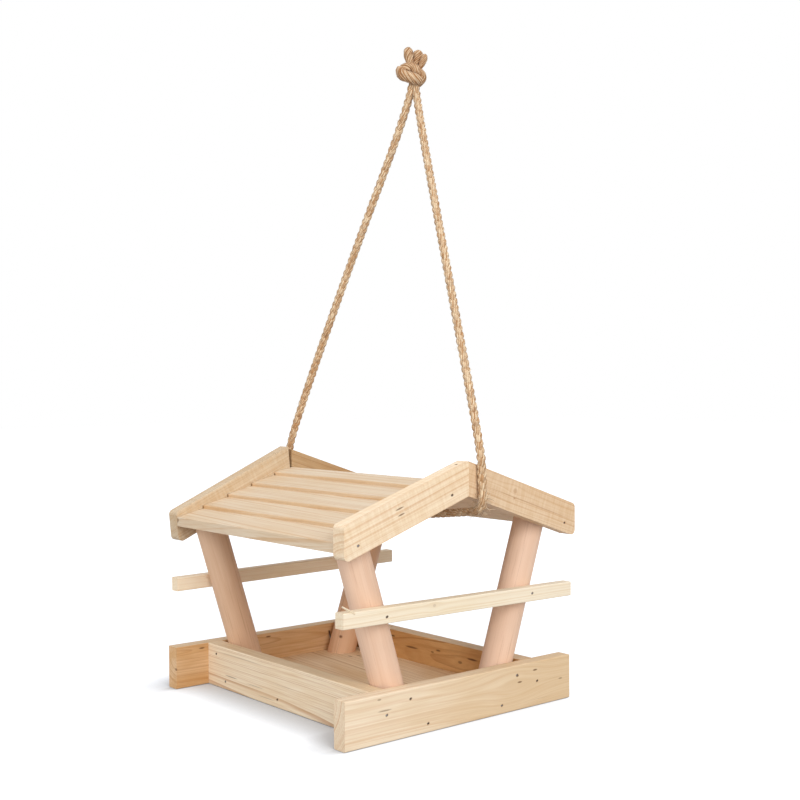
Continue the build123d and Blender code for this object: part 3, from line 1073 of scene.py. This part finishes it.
@dataclass
class Tree:
    """A geometry node tree with named inputs."""

    name: str
    kinds: dict[str, Input]

    def start(self) -> tuple[Graph, bpy.types.NodeOutputs]:
        """Make the tree and its inputs.

        Returns:
            Its graph and what its inputs give.
        """
        tree = bpy.data.node_groups.new(self.name, "GeometryNodeTree")
        for name, kind in {"Geometry": Input.SHAPE, **self.kinds}.items():
            tree.interface.new_socket(name=name, in_out="INPUT", socket_type=kind.value)
        tree.interface.new_socket(name="Geometry", in_out="OUTPUT", socket_type=Input.SHAPE.value)
        graph = Graph(tree)
        return graph, graph.add("GroupInput").node.outputs

    def finish(self, graph: Graph, shape: Socket, finish: Socket) -> bpy.types.NodeTree:
        """End the tree in real, finished geometry.

        Args:
            graph: the tree's graph.
            shape: what has been built.
            finish: its material.

        Returns:
            The tree.
        """
        shape = graph.add("SetShadeSmooth", shape)
        shape = graph.add("RealizeInstances", shape)
        shape = graph.add("SetMaterial", shape, named={"Material": finish})
        graph.add("GroupOutput", shape)
        return graph.tree


def run_tree(
    shape: bpy.types.Object, tree: bpy.types.NodeTree, values: dict[str, object], name: str
) -> bpy.types.Object:
    """Run a geometry node tree over an object, and return the result as a plain mesh object.

    Args:
        shape: the object that the tree starts from.
        tree: the tree.
        values: each named input's value.
        name: the new object's name.

    Returns:
        The new object, with no modifier.
    """
    modifier = shape.modifiers.new(tree.name, "NODES")
    modifier.node_group = tree
    for item in tree.interface.items_tree:
        if item.in_out == "INPUT" and item.name in values:
            modifier[item.identifier] = values[item.name]
    shape.update_tag()
    mesh = plain_mesh(shape)
    shape.modifiers.remove(modifier)
    mesh.name = name
    return add_object(name, mesh)


def smooth_line(name: str, points: tuple[Place, ...], resolution: int) -> bpy.types.Object:
    """Draw a smooth line that is led by control points.

    Args:
        name: the curve's name.
        points: the control points in millimetres.
        resolution: how many stretches lie between two of them.

    Returns:
        The curve.
    """
    curve = bpy.data.curves.new(name, "CURVE")
    curve.dimensions = "3D"
    spline = curve.splines.new("NURBS")
    spline.points.add(len(points) - 1)
    for point, place in zip(spline.points, points):
        point.co = (*(mm(value) for value in place), 1.0)
    spline.order_u = 3
    spline.use_endpoint_u = True
    spline.resolution_u = resolution
    return add_object(name, curve)


def join(pieces: list[bpy.types.Object], name: str) -> bpy.types.Object:
    """Join objects to one, and report it.

    Args:
        pieces: the objects.
        name: the joined object's name.

    Returns:
        The joined object.
    """
    whole = pieces[0]
    if len(pieces) > 1:
        with bpy.context.temp_override(active_object=whole, selected_editable_objects=pieces):
            bpy.ops.object.join()
    whole.name = name
    LOG.info("%s: %d faces", name, len(whole.data.polygons))
    return whole


@dataclass(frozen=True)
class Strand:
    """Twisted yarns: a body with a rise over each yarn and a groove between two, darkened by painted
    shade.

    Grooves lie at the share valley of the strand's radius, and yarns rise by ridge above them.
    """

    yarns: int = 6
    sides: int = 24
    valley: float = 0.88
    ridge: float = 0.14
    # How dark the painted shade in a groove is.
    groove: float = 0.4

    def mesh(
        self, graph: Graph, line: Socket, radius: Socket | float, lay: Socket | float, shift: float
    ) -> Socket:
        """Give a line the body of a strand.

        Args:
            graph: the tree that is being built.
            line: the strand's line.
            radius: the strand's radius, in metres, times the line's own radius.
            lay: the length in which its fibres go round once, in metres.
            shift: sets this strand's fibres apart from the others'.

        Returns:
            The strand's mesh, with strand_place and groove, the painted shade of its grooves, on its
            points.
        """
        add = graph.add
        length = add("SplineParameter", out="Length")
        place = {"Name": "down_strand", "Value": add("CombineXYZ", shift, shift * 0.7, length)}
        line = add("StoreNamedAttribute", line, named=place, **VECTORS)
        turn = add("Math DIVIDE", length, lay)
        turn = add("Math MULTIPLY_ADD", turn, 2 * pi, shift * 9.0)
        line = add("SetCurveTilt", line, named={"Tilt": turn})
        ring = add("CurvePrimitiveCircle", named={"Resolution": self.sides, "Radius": 1.0})
        spot = add("InputPosition")
        apart = add("SeparateXYZ", spot).node.outputs
        angle = add("Math ARCTAN2", apart["Y"], apart["X"])
        lobe = add("Math COSINE", add("Math MULTIPLY", angle, self.yarns / 2))
        lobe = add("Math ABSOLUTE", lobe)
        size = add("Math MULTIPLY_ADD", lobe, self.ridge, self.valley)
        size = add("Math MULTIPLY", size, radius)
        spot = add("VectorMath SCALE", spot, named={"Scale": size})
        # Painted shade in the groove between two yarns.
        groove = {"Name": "groove", "Value": add("MapRange", lobe, 0.5, 0.0, 0.0, self.groove)}
        ring = add("StoreNamedAttribute", ring, named=groove, data_type="FLOAT")
        ring = add("SetPosition", ring, named={"Position": spot})
        place = {"Name": "over_strand", "Value": add("InputPosition")}
        ring = add("StoreNamedAttribute", ring, named=place, **VECTORS)
        body = add("CurveToMesh", line, ring, add("InputRadius"), True)
        names = ("over_strand", "down_strand")
        parts = [add("InputNamedAttribute", named={"Name": name}, **VECTORS) for name in names]
        place = {"Name": "strand_place", "Value": add("VectorMath ADD", *parts)}
        return add("StoreNamedAttribute", body, named=place, **VECTORS)


STRAND = Strand()


@dataclass
class RopeLoop:
    """The plaited rope: up from the front gable to the knot, and under the roof from gable to gable.

    route holds the control points in millimetres, from the knot down the front leg, through the
    roof and up the back leg to the knot. bluntness keeps the strands longer at the plait's sides.
    Between the two distances of hollow_between from its heart the plait darkens to hollow_share: painted
    shade where the strands hide one another.
    bend_at, still_below and swings_above give a point over x = bend_at at each of two heights, which hang
    finds but does not use.
    """

    route: tuple[Place, ...] = (
        (52.2, -1.9, 512.0),
        (52.4, -2.4, 499.0),
        (29.3, -65.8, 351.0),
        (9.2, -126.3, 205.0),
        (9.9, -126.4, 188.0),
        (10.6, -126.5, 173.0),
        (11.0, -126.2, 163.0),
        (11.3, -120.0, 158.6),
        (11.5, -108.0, 157.0),
        (11.5, -96.0, 155.5),
        (11.2, -48.0, 150.2),
        (10.8, 0.0, 147.5),
        (10.4, 48.0, 150.5),
        (10.0, 94.0, 156.2),
        (9.8, 108.0, 157.4),
        (9.6, 120.0, 158.8),
        (9.4, 126.2, 163.4),
        (9.4, 126.5, 173.0),
        (9.3, 126.4, 188.0),
        (9.2, 126.3, 205.0),
        (26.1, 63.1, 351.0),
        (49.8, 0.6, 499.0),
        (50.0, 0.1, 512.0),
    )
    loop_length: float = 0.996
    width: float = 7.0
    plait_length: float = 18.0
    strand_count: int = 3
    strand_radius: float = 2.4
    plait_half_width: float = 0.88
    plait_half_depth: float = 0.88
    bluntness: float = 0.13
    hollow_between: tuple[float, float] = (2.95, 2.2)
    hollow_share: float = 0.9
    step: float = 0.8
    route_resolution: int = 24
    fibre_lay: float = 24.0
    bend_at: float = 9.2
    still_below: float = 201.0
    swings_above: float = 214.0

    def line(self) -> bpy.types.Object:
        """Draw the route's smooth line.

        Returns:
            The line as a mesh of edges.
        """
        route = smooth_line("rope_route", self.route, self.route_resolution)
        mesh = plain_mesh(route)
        bpy.data.objects.remove(route)
        return add_object("rope_line", mesh)

    def sizes(self) -> dict[str, float]:
        """Name the plait's sizes for its tree.

        Returns:
            The sizes in metres.
        """
        sizes = {
            "Step": self.step,
            "Plait Length": self.plait_length,
            "Half Width": self.plait_half_width,
            "Half Depth": self.plait_half_depth,
            "Strand Radius": self.strand_radius,
            "Fibre Lay": self.fibre_lay,
        }
        return {name: mm(size) for name, size in sizes.items()}

    def plait_tree(self) -> bpy.types.NodeTree:
        """Build the tree that lays three strands over one another along a line.

        Returns:
            The tree.
        """
        kinds = {**dict.fromkeys(self.sizes(), Input.NUMBER), "Finish": Input.FINISH}
        tree = Tree("plait", kinds)
        graph, given = tree.start()
        add = graph.add
        heart = add("MeshToCurve", given["Geometry"])
        heart = add("ResampleCurve", heart, named={3: given["Step"]}, mode="LENGTH")
        heart = add("SetCurveRadius", heart, named={"Radius": 1.0})
        middle = {"Name": "heart", "Value": add("InputPosition")}
        heart = add("StoreNamedAttribute", heart, named=middle, **VECTORS)
        along = add("SplineParameter", out="Length")
        side = add("InputNormal")
        up = add("VectorMath CROSS_PRODUCT", add("InputTangent"), side)
        turn = add("Math DIVIDE", along, given["Plait Length"])
        strands = []
        for number in range(self.strand_count):
            phase = add("Math MULTIPLY_ADD", turn, 2 * pi, number * 2 * pi / self.strand_count)
            across = add("Math SINE", phase)
            blunt = add("Math SINE", add("Math MULTIPLY", phase, 3.0))
            blunt = add("Math MULTIPLY", blunt, self.bluntness)
            across = add("Math MULTIPLY_ADD", across, 1.0 + self.bluntness, blunt)
            across = add("Math MULTIPLY", across, given["Half Width"])
            over = add("Math SINE", add("Math MULTIPLY", phase, 2.0))
            over = add("Math MULTIPLY", over, given["Half Depth"])
            shift = add("VectorMath SCALE", side, named={"Scale": across})
            lift = add("VectorMath SCALE", up, named={"Scale": over})
            shift = add("VectorMath ADD", shift, lift)
            strand = add("SetPosition", heart, named={"Offset": shift})
            radius, lay = given["Strand Radius"], given["Fibre Lay"]
            strands.append(STRAND.mesh(graph, strand, radius, lay, number * 0.3))
        joined = add("JoinGeometry")
        for strand in strands:
            graph.tree.links.new(strand, joined.node.inputs[0])
        # Painted shade deep in the plait, where the strands hide one another.
        heart = add("InputNamedAttribute", named={"Name": "heart"}, **VECTORS)
        depth = add("VectorMath DISTANCE", add("InputPosition"), heart, out="Value")
        outer, inner = (mm(reach) for reach in self.hollow_between)
        depth = add("MapRange", depth, outer, inner, 0.0, self.hollow_share, **SMOOTH)
        hollow = {"Name": "hollow", "Value": depth}
        joined = add("StoreNamedAttribute", joined, named=hollow, data_type="FLOAT")
        return tree.finish(graph, joined, given["Finish"])

    def build(self, finish: bpy.types.Material) -> tuple[bpy.types.Object, list[Place]]:
        """Build the plait.

        Args:
            finish: the jute.

        Returns:
            The rope, and the points that it follows.
        """
        line = self.line()
        path = [tuple(vertex.co) for vertex in line.data.vertices]
        values = {**self.sizes(), "Finish": finish}
        rope = run_tree(line, self.plait_tree(), values, "jute_rope")
        bpy.data.objects.remove(line)
        LOG.info("jute_rope: %d faces", len(rope.data.polygons))
        return rope, path

    def hang(self, piece: bpy.types.Object) -> None:
        """Bake a piece's place into its mesh; the points where the legs leave the gables are found but not
        used.

        Args:
            piece: the rope or its fibres.
        """
        levels = (self.still_below, self.swings_above)
        low, high = ((mm(self.bend_at), 0.0, mm(level)) for level in levels)
        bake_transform(piece)
        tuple(low)
        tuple(high)


@dataclass
class RopeHairs:
    """Loose jute fibres that stand out of the rope, and the long frayed ones under the front gable.

    Counts are for each square metre. A hair leans up to lean radians and is turned up to spin. The
    shortest has shortest_share of the length, and its tip has tip_share of the thickness.
    """

    thickness: float = 0.11
    length: float = 2.6
    count: float = 46000.0
    fray_place: Place = (11.0, -124.0, 161.0)
    fray_reach: float = 11.0
    fray_thickness: float = 0.26
    fray_length: float = 8.5
    fray_count: float = 190000.0
    anywhere: float = 9.0
    lean: float = 0.8
    spin: float = 6.28
    shortest_share: float = 0.35
    tip_share: float = 0.35
    seed: int = 4
    fray_seed: int = 11

    def tree(self) -> bpy.types.NodeTree:
        """Build the tree that scatters bent fibres over a surface, within reach of a place.

        Returns:
            The tree.
        """
        kinds = dict.fromkeys(("Per Area", "Length", "Thickness", "Reach"), Input.NUMBER)
        kinds |= {"Place": Input.PLACE, "Seed": Input.COUNT, "Finish": Input.FINISH}
        tree = Tree("hairs", kinds)
        graph, given = tree.start()
        add = graph.add
        seed = given["Seed"]
        spot = add("InputPosition")
        away = add("VectorMath DISTANCE", spot, given["Place"], out="Value")
        near = add("Compare", away, given["Reach"], operation="LESS_THAN")
        spread = {"Density": given["Per Area"], "Seed": seed}
        spread = add("DistributePointsOnFaces", given["Geometry"], near, named=spread)
        most = (self.lean, self.lean, self.spin)
        limits = {0: (-self.lean, -self.lean, 0.0), 1: most, "Seed": seed}
        lean = add("RandomValue", named=limits, **VECTORS)
        turned = add("EulerToRotation", lean)
        upright = spread.node.outputs["Rotation"]
        turned = add("RotateRotation", upright, turned, rotation_space="LOCAL")
        limits = {2: self.shortest_share, 3: 1.0, "Seed": seed}
        sizes = add("RandomValue", named=limits, out=1)
        sizes = add("Math MULTIPLY", sizes, given["Length"])
        line = {"Start": (0.0, 0.0, -0.04), "Middle": (0.12, 0.0, 0.55), "End": (0.55, 0.15, 0.85)}
        line = add("CurveQuadraticBezier", 6, named=line)
        width = add("Math DIVIDE", given["Thickness"], given["Length"])
        width = add("Math MULTIPLY", width, 0.5)
        taper = add("SplineParameter")
        taper = add("MapRange", taper, 0.4, 1.0, 1.0, self.tip_share)
        line = add("SetCurveRadius", line, named={"Radius": taper})
        ring = add("CurvePrimitiveCircle", named={"Resolution": 3, "Radius": width})
        hair = add("CurveToMesh", line, ring, add("InputRadius"), True)
        hairs = {"Points": spread, "Instance": hair, "Rotation": turned, "Scale": sizes}
        hairs = add("InstanceOnPoints", named=hairs)
        return tree.finish(graph, hairs, given["Finish"])

    def build(self, piece: bpy.types.Object, finish: bpy.types.Material, name: str) -> bpy.types.Object:
        """Grow the hairs of one piece of rope, and the fray where it turns under the roof.

        Args:
            piece: the rope or its knot.
            finish: the fibres' finish.
            name: the new piece's name.

        Returns:
            The hairs.
        """
        tree = self.tree()
        even = {
            "Per Area": self.count,
            "Length": mm(self.length),
            "Thickness": mm(self.thickness),
            "Place": (0.0, 0.0, 0.0),
            "Reach": self.anywhere,
            "Seed": self.seed,
            "Finish": finish,
        }
        frayed = {
            **even,
            "Per Area": self.fray_count,
            "Length": mm(self.fray_length),
            "Thickness": mm(self.fray_thickness),
            "Place": [mm(value) for value in self.fray_place],
            "Reach": mm(self.fray_reach),
            "Seed": self.fray_seed,
        }
        made = [run_tree(piece, tree, values, name) for values in (even, frayed)]
        for bare in [hairs for hairs in made if not hairs.data.polygons]:
            made.remove(bare)
            bpy.data.objects.remove(bare)
        return join(made, name)


@dataclass
class RopeKnot:
    """The overhand knot that closes the loop, and the three ends that stand out of it.

    Each turn and end is a row of points on its line, rightwards, up and towards the knot's front
    from its middle, with its radius there. The front looks faces degrees from -Y towards -X.
    """

    middle: Place = (50.0, 0.0, 519.5)
    faces: float = 40.0
    lay: float = 30.0
    strand_radius: float = 4.0
    line_resolution: int = 12
    line_points: int = 40
    turns: tuple[tuple[Spot, ...], ...] = (
        (
            (-10.0, 4.5, 1.0, 4.0),
            (-9.5, -1.0, 5.5, 5.0),
            (-2.0, -3.5, 7.0, 4.9),
            (5.0, -5.5, 5.5, 4.4),
            (7.5, -5.5, 1.5, 3.4),
        ),
        (
            (-9.5, -1.5, -1.0, 3.6),
            (-9.0, 3.5, 2.0, 4.4),
            (-3.0, 6.5, 3.0, 4.3),
            (3.5, 4.5, 3.0, 4.2),
            (7.0, 0.0, 2.0, 4.0),
        ),
        (
            (4.5, 2.0, 4.5, 3.0),
            (8.8, 0.5, 4.0, 3.5),
            (9.0, -5.5, 2.5, 3.4),
            (5.0, -8.0, -1.0, 2.6),
        ),
        (
            (8.0, 0.0, 0.0, 4.0),
            (5.0, 1.0, -6.5, 4.6),
            (-4.0, 0.5, -6.5, 4.6),
            (-8.5, 0.0, 0.0, 4.0),
        ),
    )
    ends: tuple[tuple[Spot, ...], ...] = (
        (
            (-0.6, 6.0, 1.5, 2.0),
            (-2.1, 11.0, 2.0, 3.4),
            (-3.1, 17.0, 1.5, 4.4),
            (-3.1, 22.3, 1.0, 3.7),
            (-3.1, 23.6, 1.0, 0.6),
        ),
        (
            (1.0, 5.0, 0.0, 1.8),
            (3.8, 11.5, -1.0, 3.4),
            (5.0, 17.0, -1.5, 4.7),
            (5.4, 20.6, -1.5, 3.9),
            (5.4, 21.8, -1.5, 0.6),
        ),
        (
            (4.5, 2.0, 2.0, 1.6),
            (8.0, 7.5, 2.5, 2.3),
            (10.2, 12.5, 2.5, 3.2),
            (11.0, 16.6, 2.0, 2.4),
            (11.0, 17.4, 2.0, 0.6),
        ),
    )

    def line(self, spots: tuple[Spot, ...]) -> bpy.types.Object:
        """Draw the line of one turn or end.

        Args:
            spots: its points and radii.

        Returns:
            A curve that has those radii.
        """
        turn = radians(self.faces)
        places = []
        for right, up, front, _ in spots:
            x = self.middle[0] + right * cos(turn) - front * sin(turn)
            y = self.middle[1] - right * sin(turn) - front * cos(turn)
            places.append((x, y, self.middle[2] + up))
        made = smooth_line("knot_turn", tuple(places), self.line_resolution)
        for point, (*_, radius) in zip(made.data.splines[0].points, spots):
            point.radius = radius / self.strand_radius
        return made

    def tree(self) -> bpy.types.NodeTree:
        """Build the tree that gives a line the body of a strand.

        Returns:
            The tree.
        """
        tree = Tree("bundle", {"Lay": Input.NUMBER, "Finish": Input.FINISH})
        graph, given = tree.start()
        line = graph.add("ResampleCurve", given["Geometry"], named={2: self.line_points})
        body = STRAND.mesh(graph, line, mm(self.strand_radius), given["Lay"], 0.37)
        return tree.finish(graph, body, given["Finish"])

    def build(self, finish: bpy.types.Material) -> bpy.types.Object:
        """Build every turn and end, and join them to one piece.

        Args:
            finish: the jute.

        Returns:
            The knot.
        """
        tree = self.tree()
        made = []
        for spots in (*self.turns, *self.ends):
            line = self.line(spots)
            made.append(run_tree(line, tree, {"Lay": mm(self.lay), "Finish": finish}, "jute_knot"))
            bpy.data.objects.remove(line)
        knot = join(made, "jute_knot")
        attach(knot, "rope_bail")
        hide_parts("rope_knot")
        return knot


# ---- Studio ----------------------------------------------------------------------------------
@dataclass(frozen=True)
class Lamp:
    """A square soft lamp: its place and side are in metres."""

    name: str
    place: Place
    side: float
    watts: float
    colour: str


@dataclass
class Studio:
    """A white floor and backdrop, soft lamps and the camera.

    camera_place and floor_gap, which is how far the floor lies below z = 0, are in millimetres. The
    floor's glow grows between two distances from the middle, in metres. It fades to shadow_depth
    where what stands within shadow_reach metres hides it from the side that open_towards points to.
    """

    camera_place: Place = (-628.0, -791.0, 256.0)
    yaw: float = 39.98
    pitch: float = -0.77
    roll: float = -0.21
    lens: float = 54.7
    sky: float = 0.52
    floor_glow_near: float = 0.75
    floor_glow_far: float = 0.95
    floor_glow_between: tuple[float, float] = (0.25, 0.75)
    floor_reach: float = 6.0
    floor_gap: float = 0.4
    open_towards: Place = (0.6, -0.6, 0.53)
    shadow_reach: float = 0.038
    shadow_depth: float = 0.15
    shadow_samples: int = 12
    sky_colour: str = "#F6F8FF"
    glow_colour: str = "#F6FAFF"
    paper_colour: str = "#B8B8B8"
    lamps_aim: Place = (0.0, 0.0, 0.15)
    lamps: tuple[Lamp, ...] = (
        Lamp("key", (-0.5, -1.9, 1.0), 1.2, 26.0, "#FFFDFA"),
        Lamp("fill", (-1.8, -0.2, 0.9), 1.2, 13.0, "#FFFFFF"),
        Lamp("overhead", (0.2, -0.1, 1.7), 1.5, 7.0, "#FFFFFF"),
    )

    def white_for_camera(self, graph: Graph) -> Socket:
        """Tell what is seen from what lights.

        Args:
            graph: the material's graph.

        Returns:
            1 for what the camera, a mirror or a glass sees, and 0 for what lights.
        """
        path = graph.add("LightPath").node
        seen = graph.add("Math ADD", path.outputs["Is Camera Ray"], path.outputs["Is Glossy Ray"])
        return graph.add("Math ADD", seen, path.outputs["Is Transmission Ray"], use_clamp=True)

    def build_world(self) -> None:
        """Light softly from all round, and show white."""
        world = bpy.data.worlds.new("studio")
        world.use_nodes = True
        world.node_tree.nodes.clear()
        graph = Graph(world.node_tree)
        share = self.white_for_camera(graph)
        sky = tuple(value * self.sky for value in linear(self.sky_colour)[:3])
        colour = graph.add("Mix", named={0: share, 6: (*sky, 1.0), 7: linear("#FFFFFF")}, **COLOUR)
        graph.add("OutputWorld", graph.add("Background", colour, 1.0))
        bpy.context.scene.world = world

    def build_floor(self) -> None:
        """Lay a white floor that keeps the shadow."""
        mesh = bpy.data.meshes.new("floor")
        reach = self.floor_reach
        corners = ((-reach, -reach), (reach, -reach), (reach, reach), (-reach, reach))
        mesh.from_pydata([(*corner, -mm(self.floor_gap)) for corner in corners], [], [(0, 1, 2, 3)])
        made, graph = new_material("white_paper")
        add = graph.add
        away = add("VectorMath LENGTH", add("TexCoord", out="Object"), out="Value")
        near, far = self.floor_glow_between
        glow = add("MapRange", away, near, far, self.floor_glow_near, self.floor_glow_far, **SMOOTH)
        glow = add("Math MULTIPLY", self.white_for_camera(graph), glow)
        towards_light = add("CombineXYZ", *self.open_towards)
        hidden = {"Distance": self.shadow_reach, "Normal": towards_light}
        seen = add("AmbientOcclusion", named=hidden, out="AO", samples=self.shadow_samples)
        seen = add("MapRange", seen, 0.4, 1.0, self.shadow_depth, 1.0)
        glow = add("Math MULTIPLY", glow, seen)
        glow = add("Emission", linear(self.glow_colour), glow)
        paper = add("BsdfDiffuse", linear(self.paper_colour))
        add("OutputMaterial", add("AddShader", paper, glow))
        mesh.materials.append(made)
        add_object("floor", mesh)

    def hang(self, lamp: Lamp) -> None:
        """Hang a lamp that points at the feeder's middle.

        Args:
            lamp: the lamp.
        """
        light = bpy.data.lights.new(lamp.name, "AREA")
        light.size = lamp.side
        light.energy = lamp.watts
        light.color = linear(lamp.colour)[:3]
        place = Vector(lamp.place)
        aim = (Vector(self.lamps_aim) - place).to_track_quat("-Z", "Y")
        add_object(lamp.name, light).matrix_world = Matrix.LocRotScale(place, aim, None)

    def build_camera(self) -> None:
        """Set the camera where the feeder is seen from the front left."""
        yaw, pitch, roll = radians(self.yaw), radians(self.pitch), radians(self.roll)
        forward = Vector((sin(yaw) * cos(pitch), cos(yaw) * cos(pitch), sin(pitch)))
        level = Vector((cos(yaw), -sin(yaw), 0.0))
        above = level.cross(forward)
        right = level * cos(roll) + above * sin(roll)
        up = above * cos(roll) - level * sin(roll)
        data = bpy.data.cameras.new("front_left")
        data.lens = self.lens
        data.clip_end = 50.0
        camera = add_object("front_left", data)
        turned = Matrix((right, up, -forward)).transposed().to_4x4()
        camera.matrix_world = Matrix.Translation(Vector(self.camera_place) / 1000.0) @ turned
        bpy.context.scene.camera = camera

    def build(self) -> None:
        """Build the world, the floor, the lamps and the camera."""
        self.build_world()
        self.build_floor()
        for lamp in self.lamps:
            self.hang(lamp)
        self.build_camera()
        bpy.context.scene.view_settings.view_transform = "Standard"


def main() -> None:
    """Build the feeder's looks and the studio."""
    logging.basicConfig(level=logging.INFO, format="%(name)s %(message)s")
    Tray().build()
    PostsAndPerches().build()
    Roof().build()
    Brads().build()
    # The knot's jute carries deeper painted shade in its grooves.
    knot = RopeKnot().build(JUTE_KNOT_SHADED.material("knotted_jute"))
    loop = RopeLoop()
    rope, path = loop.build(JUTE.material("plaited_jute"))
    wisps = JUTE_LOOSE.material("jute_fibres")
    hairs = RopeHairs().build(rope, wisps, "jute_rope_hairs")
    knot_hairs = RopeHairs().build(knot, wisps, "jute_knot_hairs")
    loop.hang(rope)
    loop.hang(hairs)
    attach(knot_hairs, "rope_bail")
    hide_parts("rope_leg_front", "rope_leg_back", "rope_under_roof")
    tuple(mm(value) for value in loop.route[0])
    mm(loop.width)
    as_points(path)
    Studio().build()


if __name__ == "__main__":
    main()
